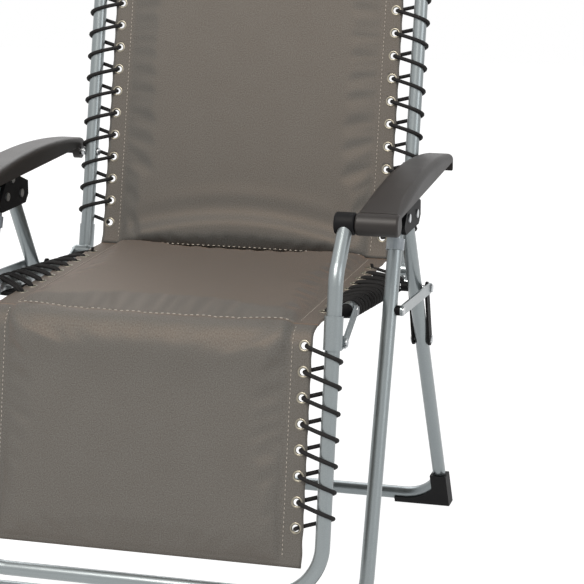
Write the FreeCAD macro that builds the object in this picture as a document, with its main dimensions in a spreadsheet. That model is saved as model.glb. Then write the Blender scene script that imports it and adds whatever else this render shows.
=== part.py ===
import FreeCAD, Part
import math
import os

from FreeCAD import Vector

# Folding relaxation lounger on two bent-tube leg frames, in millimetres.
# Z is up, the sitter looks along -Y, and +X is the sitter's left.
# Side points are written as (y, z) pairs.

doc = FreeCAD.newDocument("relaxation_lounger")
sheet = doc.addObject("Spreadsheet::Sheet", "sizes")

SIZES = [
    ("tube_od", 20.0, "outer diameter of every frame tube"),
    ("tube_wall", 1.5, "wall of every frame tube"),
    ("frame_half", 253.6, "middle plane to the sling tubes"),
    ("leg_offset", 40.4, "sling tubes to the leg tubes and arms"),
    ("hinge_y", 146.0, "seat and back hinge"),
    ("hinge_z", 409.0, "seat and back hinge height"),
    ("arm_rise_y", 51.0, "back hinge to arm pivot, rearward"),
    ("arm_rise_z", 147.0, "back hinge to arm pivot, upward"),
    ("arm_span", 404.0, "arm pivot to arm front pin, forward"),
    ("arm_drop", 8.0, "arm pivot to arm front pin, downward"),
    ("seat_pivot_y", 70.0, "seat pivot on the swing fork"),
    ("seat_pivot_z", 402.0, "seat pivot height"),
    ("seat_rise", 5.9, "seat tube slope in degrees, front up"),
    ("seat_rear_gap", 21.3, "back hinge to the rear end of the seat tube"),
    ("seat_front_gap", 53.5, "knee hinge to the front end of the seat tube"),
    ("back_lean", 13.3, "back frame lean in degrees"),
    ("back_inset", 15.8, "back tube axis behind its hinge"),
    ("back_foot", 2.0, "back tube below its hinge"),
    ("back_length", 768.0, "back frame above its hinge"),
    ("back_corner", 95.0, "bend at the top corners of the back"),
    ("legrest_lean", 10.6, "legrest lean in degrees, foot forward"),
    ("legrest_inset", 17.8, "legrest tube axis ahead of the knee hinge"),
    ("legrest_bend_z", 490.0, "height of the bend in the legrest tube"),
    ("legrest_bend", 45.0, "bend radius there"),
    ("legrest_corner", 70.0, "bend at the foot corners"),
    ("foot_bar_z", 75.0, "height of the foot bar"),
    ("base_z", 14.0, "axis of the floor bars"),
    ("rear_foot_y", 279.6, "rear floor bar"),
    ("rear_lean", 30.8, "rear leg lean in degrees"),
    ("front_foot_y", -262.6, "front floor bar"),
    ("front_lean", 19.5, "front leg lean in degrees"),
    ("leg_corner", 62.0, "bend at the floor corners"),
    ("leg_top", 12.0, "leg tube above its apex rivet"),
    ("front_pivot_z", 533.0, "front leg apex rivet"),
    ("rear_pivot_z", 530.0, "rear leg apex rivet"),
    ("fork_pivot_z", 318.0, "swing fork rivet on the rear leg"),
    ("stay_pin_z", 414.0, "stay stud on the front leg"),
    ("roller_y", -59.0, "arm roller in the apex plates"),
    ("roller_z", 556.0, "arm roller height"),
    ("roller_radius", 8.0, "arm roller"),
    ("rivet_radius", 3.0, "shank of rivets and roller pins"),
    ("head_radius", 6.0, "rivet head"),
    ("head_thick", 2.0, "rivet head thickness"),
    ("pin_radius", 4.0, "hinge and seat pivot pins"),
    ("front_pin_radius", 5.0, "arm front pin"),
    ("front_pin_inset", 2.0, "arm front pin inside the face of the knuckle"),
    ("running_fit", 0.05, "radial play of a pin in a turning piece"),
    ("side_gap", 0.4, "side play between plates and what they straddle"),
    ("apex_plate", 5.6, "apex plate thickness"),
    ("apex_margin", 27.0, "apex plate beyond the leg rivets"),
    ("apex_drop", 17.0, "apex plate below the leg rivets"),
    ("apex_chamfer", 11.0, "its cut corners"),
    ("apex_cap", 8.5, "apex plate above the roller axis"),
    ("apex_rear_drop", 12.0, "rear corner of the apex plate below the roller axis"),
    ("fork_plate", 3.2, "swing fork plate thickness"),
    ("fork_half_width", 9.0, "half width of a swing fork plate"),
    ("hinge_plate", 3.0, "hinge plate thickness"),
    ("hinge_half_width", 7.5, "half width of a hinge plate"),
    ("hinge_reach", 8.0, "hinge plate rivet inside the end of the seat tube"),
    ("stay_plate", 3.0, "stay link thickness"),
    ("stay_half_width", 7.5, "half width of a stay link"),
    ("stay_offset", 15.3, "leg axis to the inner face of a stay link"),
    ("stud_radius", 7.0, "stay stud on the front leg"),
    ("back_sleeve_od", 23.0, "sleeve at the foot of the back tube"),
    ("back_sleeve_length", 44.0, "its length"),
    ("knee_sleeve_od", 25.0, "sleeve on the legrest tube"),
    ("knee_sleeve_length", 44.0, "its length"),
    ("ear_radius", 9.0, "ear of a sleeve round its hinge pin"),
    ("collar_od", 25.0, "collar at the top of the front leg"),
    ("collar_length", 15.6, "its length"),
    ("collar_z", 498.5, "its middle height"),
    ("foot_width", 88.0, "corner foot across"),
    ("foot_height", 60.0, "corner foot upright"),
    ("foot_depth", 30.0, "corner foot front to back"),
    ("foot_limb", 10.0, "height of the open trough under the floor bar"),
    ("foot_wall", 2.6, "corner foot outside the leg tube"),
    ("barrel_radius", 15.0, "arm front barrel and knuckle"),
    ("barrel_outer", 31.1, "leg plane to the outer end of the arm barrel"),
    ("barrel_edge", 3.0, "rounding of barrel and knuckle ends"),
    ("knuckle_length", 27.8, "knuckle at the top of the legrest tube"),
    ("knuckle_gap", 0.5, "knuckle to barrel"),
    ("socket_depth", 8.0, "legrest tube inside the knuckle"),
    ("arm_inner_rear", 23.5, "leg plane to the inner face of the arm at its rear end"),
    ("arm_outer_rear", 20.5, "leg plane to the outer face of the arm at its rear end"),
    ("arm_nose", 4.0, "front end of the arm shell behind the barrel axis"),
    ("arm_tail", 13.0, "arm behind its pivot"),
    ("arm_crown", 35.0, "arm top above its pivots at mid length"),
    ("arm_tail_rise", 19.0, "arm top above its pivots at the rear"),
    ("lug_sink", 2.0, "lug let into the arm shell"),
    ("arm_lip", 5.0, "turned-down lip at the rear end of the arm"),
    ("arm_lip_drop", 14.0, "lip below the arm's lower edge"),
    ("arm_skirt", 8.0, "arm lower edge above its pivots"),
    ("arm_edge", 9.0, "rounding of the arm's upper edges"),
    ("channel_width", 36.8, "channel under the arm"),
    ("channel_front", 24.0, "barrel axis to the front of the channel"),
    ("channel_rear", 50.0, "arm pivot to the rear of the channel"),
    ("lug_width", 11.0, "arm lug at the rear pivot"),
    ("lug_radius", 11.0, "arm lug at the rear pivot"),
    ("rail_width", 14.0, "steel rail in the arm channel"),
    ("rail_thick", 2.0, "rail thickness"),
    ("rail_length", 146.0, "rail length"),
    ("rail_gap", 0.4, "rail to roller"),
    ("lever_ahead", 88.0, "lock lever pivot ahead of the arm pivot"),
    ("lever_lift", 3.0, "lever pivot above the arm's lower edge"),
    ("lever_length", 62.0, "lock lever"),
    ("lever_width", 22.0, "lock lever across"),
    ("lever_thick", 6.0, "lock lever thickness"),
    ("lever_pin_radius", 2.0, "lock lever pin"),
    ("lever_knuckle", 4.0, "lock lever round its pin"),
    ("lever_inset", 4.0, "lock lever inward of the leg plane"),
    ("lever_pin_grip", 3.0, "lever pin held in each channel wall"),
    ("eyelet_inset", 37.0, "sling tubes to the eyelet rows"),
    ("pad_inset", 20.6, "eyelet rows to the stitched edge of the pads"),
    ("hem_margin", 10.4, "eyelet rows to the edge of the sling"),
    ("hem_thick", 2.6, "sling hem thickness"),
    ("pad_crown", 8.0, "pad crown above the sling plane"),
    ("pad_belly", 6.0, "pad below the sling plane"),
    ("pad_edge", 3.0, "half thickness of a pad at its sewn edge"),
    ("pad_waist", 4.0, "how far a pad's sides draw in"),
    ("sheet_margin", 8.0, "sling sheet beyond a pad at the outer ends"),
    ("back_sheet_start", 14.0, "lower seam of the back sheet above the hinge"),
    ("back_pad_start", 48.0, "lower end of the back pad above the hinge"),
    ("back_pad_gap", 64.0, "upper end of the back pad below the top bar"),
    ("seat_sheet_lap", 10.0, "rear seam of the seat sheet behind the back hinge"),
    ("seat_pad_rear_gap", 41.0, "rear end of the seat pad ahead of the back hinge"),
    ("seat_pad_front_gap", 46.0, "front end of the seat pad behind the knee hinge"),
    ("seat_sheet_front_gap", 6.0, "front seam of the seat sheet behind the knee hinge"),
    ("seat_sheet_rise", 10.0, "seat sheet above the back hinge"),
    ("legrest_sheet_start", -12.0, "upper seam of the legrest sheet below the knee hinge"),
    ("legrest_pad_start", 12.0, "upper end of the legrest pad below the knee hinge"),
    ("legrest_pad_gap", 47.0, "lower end of the legrest pad above the foot bar"),
    ("eyelet_hole", 6.2, "eyelet hole radius"),
    ("eyelet_flange", 9.2, "eyelet flange radius"),
    ("eyelet_wall", 0.8, "eyelet sheet"),
    ("cord_radius", 2.2, "elastic lacing cord"),
    ("cord_gap", 0.4, "lacing to tube"),
    ("cord_turn", 6.5, "bend of the lacing through an eyelet"),
    ("cord_pull", 2.5, "lacing in an eyelet, off its middle towards the tube"),
    ("seat_cord_pull", 0.7, "the same on the seat, where two strands share an eyelet"),
    ("pass_gap", 2.5, "half the distance between two passes of the cord in a seat eyelet"),
    ("back_first_eyelet", 46.0, "first back eyelet above the hinge"),
    ("back_last_gap", 110.0, "least gap from the last back eyelet to the top bar"),
    ("arm_eyelet_gap", 6.79, "arm pivot above the eyelet next to it"),
    ("eyelets_below_arm", 3, "eyelets below that one"),
    ("tool_reach", 1.0, "reach of a cut past the material it goes through"),
    ("step_slack", 0.05, "share of a pitch the last back eyelet may run over by"),
    ("seat_first_eyelet", -25.5, "first seat eyelet ahead of the pivot"),
    ("seat_last_gap", 29.5, "last seat eyelet behind the front end of the seat tube"),
    ("seat_eyelets", 9, "eyelets on each side of the seat"),
    ("legrest_first_eyelet", 6.0, "first legrest eyelet below the knee hinge"),
    ("legrest_last_gap", 91.0, "last legrest eyelet above the foot bar"),
    ("legrest_eyelets", 8, "eyelets on each side of the legrest"),
]

for row, (alias, value, note) in enumerate(SIZES, start=1):
    sheet.set(f"A{row}", note)
    sheet.set(f"B{row}", str(value))
    sheet.setAlias(f"B{row}", alias)
doc.recompute()


def size(alias):
    return float(getattr(sheet, alias))


# Side points that the pieces share, all worked out from the sheet.


def slope(degrees):
    return math.tan(math.radians(degrees))


def along(degrees):
    """Unit vector that leans rearward from upright by the given angle."""
    return math.sin(math.radians(degrees)), math.cos(math.radians(degrees))


def add(point, vector, factor=1.0):
    return point[0] + vector[0] * factor, point[1] + vector[1] * factor


tube_radius = size("tube_od") / 2
frame_x = size("frame_half")
leg_x = frame_x + size("leg_offset")
eyelet_x = frame_x - size("eyelet_inset")

back_hinge = (size("hinge_y"), size("hinge_z"))
arm_rise = (size("arm_rise_y"), size("arm_rise_z"))
arm_pivot = add(back_hinge, arm_rise)
arm_front = (arm_pivot[0] - size("arm_span"), arm_pivot[1] - size("arm_drop"))
knee_hinge = add(arm_front, arm_rise, -1.0)
seat_pivot = (size("seat_pivot_y"), size("seat_pivot_z"))
roller = (size("roller_y"), size("roller_z"))

seat_ahead = (-math.cos(math.radians(size("seat_rise"))), math.sin(math.radians(size("seat_rise"))))
seat_rear_run = (seat_pivot[0] - back_hinge[0] + size("seat_rear_gap")) / -seat_ahead[0]
seat_front_run = (seat_pivot[0] - knee_hinge[0] - size("seat_front_gap")) / -seat_ahead[0]
seat_rear_end = add(seat_pivot, seat_ahead, seat_rear_run)
seat_front_end = add(seat_pivot, seat_ahead, seat_front_run)

back_up = along(size("back_lean"))
back_rear = (back_up[1], -back_up[0])
back_base = add(back_hinge, back_rear, size("back_inset"))
back_foot = add(back_base, back_up, -size("back_foot"))
back_top = add(back_base, back_up, size("back_length"))

legrest_up = along(size("legrest_lean"))
legrest_down = (-legrest_up[0], -legrest_up[1])
legrest_rear = (legrest_up[1], -legrest_up[0])
legrest_base = add(knee_hinge, legrest_rear, -size("legrest_inset"))
legrest_foot_run = (legrest_base[1] - size("foot_bar_z")) / legrest_up[1]
legrest_foot = add(legrest_base, legrest_down, legrest_foot_run)
legrest_bend = add(legrest_base, legrest_up, (size("legrest_bend_z") - legrest_base[1]) / legrest_up[1])
reach = (arm_front[0] - legrest_bend[0], arm_front[1] - legrest_bend[1])
reach_length = math.hypot(*reach)
socket_stop = size("barrel_radius") - size("socket_depth")
legrest_tip = add(legrest_bend, reach, 1.0 - socket_stop / reach_length)


def rear_leg(height):
    return size("rear_foot_y") - (height - size("base_z")) * slope(size("rear_lean")), height


def front_leg(height):
    return size("front_foot_y") + (height - size("base_z")) * slope(size("front_lean")), height


rear_apex = rear_leg(size("rear_pivot_z"))
front_apex = front_leg(size("front_pivot_z"))
fork_pivot = rear_leg(size("fork_pivot_z"))
stay_pin = front_leg(size("stay_pin_z"))
rear_leg_top = rear_leg(size("rear_pivot_z") + size("leg_top"))
front_leg_top = front_leg(size("front_pivot_z") + size("leg_top"))


# Shapes that several pieces use.


def at(x, point):
    return Vector(x, point[0], point[1])


def solid_of(shape):
    """The single solid of a boolean's result, or the result itself when it holds several."""
    return shape.Solids[0] if len(shape.Solids) == 1 else shape


def feature(label, shape):
    piece = doc.addObject("Part::Feature", label)
    piece.Label = label
    piece.Shape = shape
    return piece


def round_rod(x_start, x_end, point, radius):
    """Cylinder that lies across the object, from one x to another."""
    return Part.makeCylinder(radius, abs(x_end - x_start), at(min(x_start, x_end), point), Vector(1, 0, 0))


def bent_path(corners, bends):
    """Wire of straight runs through the corners, with a tangent arc of each bend radius."""
    edges = []
    start = corners[0]
    for corner, after, bend in zip(corners[1:-1], corners[2:], bends):
        toward = (corner - start).normalize()
        away = (after - corner).normalize()
        turn = toward.getAngle(away)
        setback = bend * math.tan(turn / 2)
        entry = corner - toward * setback
        leave = corner + away * setback
        inward = (away - toward).normalize()
        centre = corner + inward * (bend / math.cos(turn / 2))
        edges.append(Part.LineSegment(start, entry).toShape())
        edges.append(Part.Arc(entry, centre - inward * bend, leave).toShape())
        start = leave
    edges.append(Part.LineSegment(start, corners[-1]).toShape())
    return Part.Wire(edges)


def rod_along(path, radius):
    first = path.Edges[0]
    begin = first.FirstParameter
    circle = Part.makeCircle(radius, first.valueAt(begin), first.tangentAt(begin))
    return path.makePipeShell([Part.Wire([circle])], True, False)


def tube_along(path):
    outer = rod_along(path, tube_radius)
    inner = rod_along(path, tube_radius - size("tube_wall"))
    return outer.cut(inner)


def cross_holes(shape, point, radius, half):
    """Cut a cross hole at a side point through both sides of a frame."""
    for side in (-1, 1):
        bore = round_rod(side * half - 2 * tube_radius, side * half + 2 * tube_radius, point, radius)
        shape = shape.cut(bore)
    return shape


def mirrored(shape):
    return shape.mirror(Vector(0, 0, 0), Vector(1, 0, 0))


def both_sides(shape):
    """The left-hand solid and its mirror image, as two solids of one node."""
    return Part.makeCompound([shape, mirrored(shape)])


def left_and_right(label, shape):
    """A node for each side from the left-hand shape."""
    feature(label + "_left", shape)
    feature(label + "_right", mirrored(shape))


# Flat plates are PartDesign bodies with a sketch in the side plane.


def origin_plane(body, role):
    return next(plane for plane in body.Origin.OriginFeatures if plane.Role == role)


def plate(name, ends, radii, hole_sizes, thick, place):
    """Round-ended bar between two side points, with a hole at each end that has a size."""
    body = doc.addObject("PartDesign::Body", name)
    sketch = body.newObject("Sketcher::SketchObject", name + "_outline")
    sketch.AttachmentSupport = [(origin_plane(body, "YZ_Plane"), "")]
    sketch.MapMode = "FlatFace"
    (first, second), (big, small) = ends, radii
    heading = math.atan2(second[1] - first[1], second[0] - first[0])
    length = math.hypot(second[0] - first[0], second[1] - first[1])
    tilt = math.acos((big - small) / length)

    def rim(centre, radius, angle):
        return Vector(centre[0] + radius * math.cos(angle), centre[1] + radius * math.sin(angle), 0)

    upper = heading + tilt
    lower = heading - tilt
    first_arc = Part.Arc(rim(first, big, upper), rim(first, big, heading + math.pi), rim(first, big, lower))
    second_arc = Part.Arc(rim(second, small, lower), rim(second, small, heading), rim(second, small, upper))
    sketch.addGeometry(first_arc, False)
    sketch.addGeometry(Part.LineSegment(rim(first, big, lower), rim(second, small, lower)), False)
    sketch.addGeometry(second_arc, False)
    sketch.addGeometry(Part.LineSegment(rim(second, small, upper), rim(first, big, upper)), False)
    for centre, hole in zip(ends, hole_sizes):
        if hole:
            sketch.addGeometry(Part.Circle(Vector(centre[0], centre[1], 0), Vector(0, 0, 1), hole), False)
    pad = body.newObject("PartDesign::Pad", name + "_pad")
    pad.Profile = sketch
    pad.setExpression("Length", thick)
    body.setExpression(".Placement.Base.x", place)
    return body


def group(label, members):
    node = doc.addObject("Part::Compound", label)
    node.Label = label
    node.Links = members
    return node


def plate_pair(label, ends, radii, hole_sizes, thick, half_gap, middle):
    """Two like plates that straddle a tube, one node for each side of the object."""
    for side, sign in (("left", 1), ("right", -1)):
        outward = f"({sign}) * ({middle})"
        near = f"{outward} - ({half_gap}) - {thick}"
        far = f"{outward} + ({half_gap})"
        pair = [
            plate(f"{label}_{side}_{which}", ends, radii, hole_sizes, thick, place)
            for which, place in (("near", near), ("far", far))
        ]
        group(f"{label}_{side}", pair)


# Leg frames: each is one tube bent into a U that stands on its floor bar.

rivet_hole = size("rivet_radius") + size("running_fit")
pin_hole = size("pin_radius") + size("running_fit")


def u_path(half, top, bottom, bend):
    corners = [at(-half, top), at(-half, bottom), at(half, bottom), at(half, top)]
    return bent_path(corners, [bend, bend])


rear_path = u_path(leg_x, rear_leg_top, rear_leg(size("base_z")), size("leg_corner"))
rear_frame = tube_along(rear_path)
rear_frame = cross_holes(rear_frame, rear_apex, rivet_hole, leg_x)
rear_frame = cross_holes(rear_frame, fork_pivot, rivet_hole, leg_x)
feature("rear_leg_frame", rear_frame)

front_path = u_path(leg_x, front_leg_top, front_leg(size("base_z")), size("leg_corner"))
front_frame = tube_along(front_path)
front_frame = cross_holes(front_frame, front_apex, rivet_hole, leg_x)
feature("front_leg_frame", front_frame)


def corner_foot(leg, path):
    """Moulded clip round a floor corner: a leaning block with a flat sole, cut away along the bend."""
    height = size("foot_height")
    half_depth = size("foot_depth") / 2
    outer_x = leg_x + tube_radius + size("foot_wall")
    inner_x = outer_x - size("foot_width")
    low = leg(0.0)
    high = leg(height)
    outline = [(low[0] - half_depth, 0.0), (low[0] + half_depth, 0.0)]
    outline += [(high[0] + half_depth, height), (high[0] - half_depth, height)]
    ring = [at(inner_x, corner) for corner in outline]
    block = Part.Face(Part.makePolygon(ring + ring[:1])).extrude(Vector(size("foot_width"), 0, 0))
    window_y = min(low[0], high[0]) - 2 * half_depth
    window_depth = abs(high[0] - low[0]) + 4 * half_depth
    upright_x = leg_x - tube_radius - size("foot_wall")
    bend = Vector(leg_x - size("leg_corner"), window_y, size("base_z") + size("leg_corner"))
    sweep = bend.z - size("foot_limb")
    reach = upright_x - bend.x
    halfway = math.asin(reach / sweep) / 2
    corner = Vector(upright_x, window_y, bend.z - math.sqrt(sweep * sweep - reach * reach))
    middle = bend + Vector(math.sin(halfway), 0, -math.cos(halfway)) * sweep
    limb_end = bend - Vector(0, 0, sweep)
    left = inner_x - size("tool_reach")
    above = height + size("tool_reach")
    rim = [Vector(left, window_y, limb_end.z), limb_end, corner, Vector(upright_x, window_y, above)]
    rim.append(Vector(left, window_y, above))
    sides = [Part.LineSegment(rim[0], rim[1]), Part.Arc(rim[1], middle, rim[2])]
    sides.append(Part.LineSegment(rim[2], rim[3]))
    sides.append(Part.LineSegment(rim[3], rim[4]))
    sides.append(Part.LineSegment(rim[4], rim[0]))
    window = Part.Face(Part.Wire([side.toShape() for side in sides])).extrude(Vector(0, window_depth, 0))
    rod = rod_along(path, tube_radius + size("running_fit"))
    return solid_of(block.cut(window).cut(rod))


left_and_right("rear_foot", corner_foot(rear_leg, rear_path))
left_and_right("front_foot", corner_foot(front_leg, front_path))


# Apex plates hold both leg tops and the roller that carries the arm.


def apex_outline(body_name):
    """Side outline of an apex plate, cut low at both ends so that the leaning arm clears it."""
    margin = size("apex_margin")
    chamfer = size("apex_chamfer")
    front = front_apex[0] - margin
    rear = rear_apex[0] + margin
    foot = min(front_apex[1], rear_apex[1]) - size("apex_drop")
    top = roller[1] + size("apex_cap")
    points = [(front, foot + chamfer), (front + chamfer, foot)]
    points += [(rear - chamfer, foot), (rear, foot + chamfer)]
    points += [(rear, roller[1] - size("apex_rear_drop")), (roller[0] + chamfer / 3, top)]
    points += [(roller[0] - chamfer, top), (front_apex[0] - chamfer, front_apex[1] + chamfer)]
    points += [(front, front_apex[1] - chamfer / 2)]
    body = doc.addObject("PartDesign::Body", body_name)
    sketch = body.newObject("Sketcher::SketchObject", body_name + "_outline")
    sketch.AttachmentSupport = [(origin_plane(body, "YZ_Plane"), "")]
    sketch.MapMode = "FlatFace"
    for start, end in zip(points, points[1:] + points[:1]):
        sketch.addGeometry(Part.LineSegment(Vector(*start, 0), Vector(*end, 0)), False)
    for centre in (front_apex, rear_apex, roller):
        sketch.addGeometry(Part.Circle(Vector(*centre, 0), Vector(0, 0, 1), rivet_hole), False)
    pad = body.newObject("PartDesign::Pad", body_name + "_pad")
    pad.Profile = sketch
    pad.setExpression("Length", "sizes.apex_plate")
    return body


for side, sign in (("left", 1), ("right", -1)):
    plates = []
    straddle = "(sizes.tube_od / 2 + sizes.side_gap)"
    for which, offset in (("near", f"-{straddle} - sizes.apex_plate"), ("far", f"+{straddle}")):
        body = apex_outline(f"apex_{side}_{which}")
        body.setExpression(".Placement.Base.x", f"({sign}) * (sizes.frame_half + sizes.leg_offset) {offset}")
        plates.append(body)
    group(f"apex_plates_{side}", plates)


def rivet(x_start, x_end, point, shank):
    """Shank between two outer faces with a flat head on each."""
    head = size("head_thick")
    body = round_rod(x_start - head, x_end + head, point, shank)
    for base, tip in ((x_start - head, x_start), (x_end, x_end + head)):
        body = body.fuse(round_rod(base, tip, point, size("head_radius")))
    return body.removeSplitter()


apex_half = tube_radius + size("side_gap") + size("apex_plate")
apex_rivets = []
for spot in (front_apex, rear_apex, roller):
    stud = rivet(leg_x - apex_half, leg_x + apex_half, spot, size("rivet_radius"))
    apex_rivets += [stud, mirrored(stud)]
feature("apex_rivets", Part.makeCompound(apex_rivets))

roller_body = round_rod(leg_x - tube_radius, leg_x + tube_radius, roller, size("roller_radius"))
roller_body = roller_body.cut(round_rod(leg_x - apex_half, leg_x + apex_half, roller, rivet_hole))
feature("arm_rollers", both_sides(roller_body))

# Swing forks straddle the rear legs and carry the seat pivots.

fork_half = "sizes.tube_od / 2 + sizes.side_gap"
fork_radii = (size("fork_half_width"), size("fork_half_width"))
plate_pair("swing_fork", (fork_pivot, seat_pivot), fork_radii, (rivet_hole, pin_hole),
           "sizes.fork_plate", fork_half, "sizes.frame_half + sizes.leg_offset")

fork_outer = tube_radius + size("side_gap") + size("fork_plate")
fork_rivet = rivet(leg_x - fork_outer, leg_x + fork_outer, fork_pivot, size("rivet_radius"))
feature("fork_rivets", both_sides(fork_rivet))

# Stay links tie the seat pivots to studs on the front legs.

stay_radii = (size("stay_half_width"), size("stay_half_width"))
for side, sign in (("left", 1), ("right", -1)):
    inner_face = "sizes.frame_half + sizes.leg_offset + sizes.stay_offset"
    start_x = inner_face if sign > 0 else f"-({inner_face}) - sizes.stay_plate"
    link = plate(f"stay_link_{side}", (seat_pivot, stay_pin), stay_radii, (pin_hole, 0.0),
                 "sizes.stay_plate", start_x)
    link.Label = f"stay_link_{side}"

stay_face = leg_x + size("stay_offset")
stay_outer = stay_face + size("stay_plate")
stay_head = round_rod(stay_outer, stay_outer + size("head_thick"), stay_pin, size("head_radius"))
feature("stay_rivets", both_sides(stay_head))

stud = round_rod(leg_x, stay_face - size("side_gap"), stay_pin, size("stud_radius"))
stud = solid_of(stud.cut(rod_along(front_path, tube_radius + size("running_fit"))))
feature("stay_studs", both_sides(stud))

collar_middle = front_leg(size("collar_z"))
front_up = along(size("front_lean"))
collar_start = add(collar_middle, front_up, -size("collar_length") / 2)
collar_axis = Vector(0, *front_up)
collar = Part.makeCylinder(size("collar_od") / 2, size("collar_length"), at(leg_x, collar_start), collar_axis)
bore = Part.makeCylinder(tube_radius + size("running_fit"), size("collar_length"), at(leg_x, collar_start),
                         collar_axis)
feature("leg_collars", both_sides(collar.cut(bore)))

# Seat frame: two side tubes on the fork pins, with hinge plates at both ends.

seat_path = Part.Wire([Part.LineSegment(at(frame_x, seat_rear_end), at(frame_x, seat_front_end)).toShape()])
seat_tube = tube_along(seat_path)
tube_inner = frame_x - 2 * tube_radius
tube_outer = frame_x + 2 * tube_radius
seat_tube = seat_tube.cut(round_rod(tube_inner, tube_outer, seat_pivot, pin_hole))
seat_rear_rivet = add(seat_rear_end, seat_ahead, size("hinge_reach"))
seat_front_rivet = add(seat_front_end, seat_ahead, -size("hinge_reach"))
for spot in (seat_rear_rivet, seat_front_rivet):
    seat_tube = seat_tube.cut(round_rod(tube_inner, tube_outer, spot, rivet_hole))
left_and_right("seat_tube", seat_tube)

hinge_half = "sizes.tube_od / 2"
hinge_radii = (size("hinge_half_width"), size("hinge_half_width"))
plate_pair("back_hinge_plate", (back_hinge, seat_rear_rivet), hinge_radii, (pin_hole, rivet_hole),
           "sizes.hinge_plate", hinge_half, "sizes.frame_half")
plate_pair("knee_hinge_plate", (knee_hinge, seat_front_rivet), hinge_radii, (pin_hole, rivet_hole),
           "sizes.hinge_plate", hinge_half, "sizes.frame_half")

hinge_outer = tube_radius + size("hinge_plate")
seat_rivets = []
for spot in (seat_rear_rivet, seat_front_rivet):
    stud = rivet(frame_x - hinge_outer, frame_x + hinge_outer, spot, size("rivet_radius"))
    seat_rivets += [stud, mirrored(stud)]
feature("seat_rivets", Part.makeCompound(seat_rivets))

pivot_start = frame_x - tube_radius - size("head_thick")
pivot_end = stay_outer + size("head_thick") + size("side_gap")
pivot = round_rod(pivot_start, pivot_end, seat_pivot, size("pin_radius"))
pivot = pivot.fuse(round_rod(pivot_start, pivot_start + size("head_thick"), seat_pivot, size("head_radius")))
pivot = pivot.fuse(round_rod(pivot_end - size("head_thick"), pivot_end, seat_pivot, size("head_radius")))
feature("seat_pivot_pins", both_sides(pivot.removeSplitter()))

bush_end = leg_x - fork_outer - size("side_gap")
wrap_outer = tube_radius + size("cord_gap") + 2 * size("cord_radius")
bush_start = frame_x + wrap_outer + size("side_gap")
bush = round_rod(bush_start, bush_end, seat_pivot, size("pin_radius") + size("hinge_plate"))
bush = bush.cut(round_rod(frame_x, leg_x, seat_pivot, pin_hole))
feature("seat_pivot_bushes", both_sides(bush))


# Hinge pins stand between the plates and the ears of the back and the legrest.


def hinge_pin(point):
    head = size("head_thick")
    start = frame_x - hinge_outer - size("side_gap") - head
    end = frame_x + hinge_outer + size("side_gap") + head
    pin = round_rod(start, end, point, size("pin_radius"))
    pin = pin.fuse(round_rod(start, start + head, point, size("head_radius")))
    pin = pin.fuse(round_rod(end - head, end, point, size("head_radius")))
    return pin.removeSplitter()


feature("back_hinge_pins", both_sides(hinge_pin(back_hinge)))
feature("knee_hinge_pins", both_sides(hinge_pin(knee_hinge)))


def eared_sleeve(base, upward, start, length, outer, hinge):
    """Sleeve on a tube with an ear that reaches out to a hinge pin."""
    foot = add(base, upward, start)
    axis = Vector(0, *upward)
    sleeve = Part.makeCylinder(outer / 2, length, at(frame_x, foot), axis)
    ear_half = tube_radius - size("side_gap")
    ear_radius = size("ear_radius")
    ear = round_rod(frame_x - ear_half, frame_x + ear_half, hinge, ear_radius)
    web = [add(hinge, upward, -ear_radius), add(hinge, upward, ear_radius)]
    web += [add(base, upward, ear_radius), add(base, upward, -ear_radius)]
    ring = [at(frame_x - ear_half, corner) for corner in web]
    web_block = Part.Face(Part.makePolygon(ring + ring[:1])).extrude(Vector(2 * ear_half, 0, 0))
    body = sleeve.fuse(ear).fuse(web_block)
    tube_bore_start = add(base, upward, min(start, -ear_radius) - size("tool_reach"))
    tube_bore = Part.makeCylinder(tube_radius + size("running_fit"), length + 4 * ear_radius,
                                  at(frame_x, tube_bore_start), axis)
    pin_bore = round_rod(frame_x - 2 * ear_half, frame_x + 2 * ear_half, hinge, pin_hole)
    return solid_of(body.cut(tube_bore).cut(pin_bore).removeSplitter())


# Back frame: one tube bent into an upturned U.

back_path = u_path(frame_x, back_foot, back_top, size("back_corner"))
back_tube = cross_holes(tube_along(back_path), arm_pivot, pin_hole, frame_x)
feature("back_frame", back_tube)
back_sleeve = eared_sleeve(back_base, back_up, -size("back_foot"), size("back_sleeve_length"),
                           size("back_sleeve_od"), back_hinge)
left_and_right("back_sleeve", back_sleeve)

# Legrest frame: one tube with a foot bar, bent back above the knee to meet the arm.

legrest_corners = [legrest_tip, legrest_bend, legrest_foot]
legrest_path = bent_path([at(-frame_x, corner) for corner in legrest_corners]
                         + [at(frame_x, corner) for corner in reversed(legrest_corners)],
                         [size("legrest_bend"), size("legrest_corner"), size("legrest_corner"),
                          size("legrest_bend")])
feature("legrest_frame", tube_along(legrest_path))
knee_sleeve = eared_sleeve(legrest_base, legrest_up, -size("ear_radius"), size("knee_sleeve_length"),
                           size("knee_sleeve_od"), knee_hinge)
left_and_right("knee_sleeve", knee_sleeve)


def soft_ended_barrel(x_start, length, point, radius):
    barrel = round_rod(x_start, x_start + length, point, radius)
    rims = [edge for edge in barrel.Edges if isinstance(edge.Curve, Part.Circle)]
    return barrel.makeFillet(min(size("barrel_edge"), length / 6), rims)


barrel_start = frame_x + size("knuckle_length") / 2
barrel_length = leg_x + size("barrel_outer") - barrel_start
knuckle_start = barrel_start - size("knuckle_gap") - size("knuckle_length")
knuckle = soft_ended_barrel(knuckle_start, size("knuckle_length"), arm_front, size("barrel_radius"))
front_bore = size("front_pin_radius") + size("running_fit")
knuckle = knuckle.cut(round_rod(knuckle_start - size("tool_reach"), barrel_start, arm_front, front_bore))
knuckle = solid_of(knuckle.cut(rod_along(legrest_path, tube_radius + size("running_fit"))))
left_and_right("arm_knuckle", knuckle)


# Arms: bowed moulded shells with a channel below, a barrel in front and a lug behind.


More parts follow.
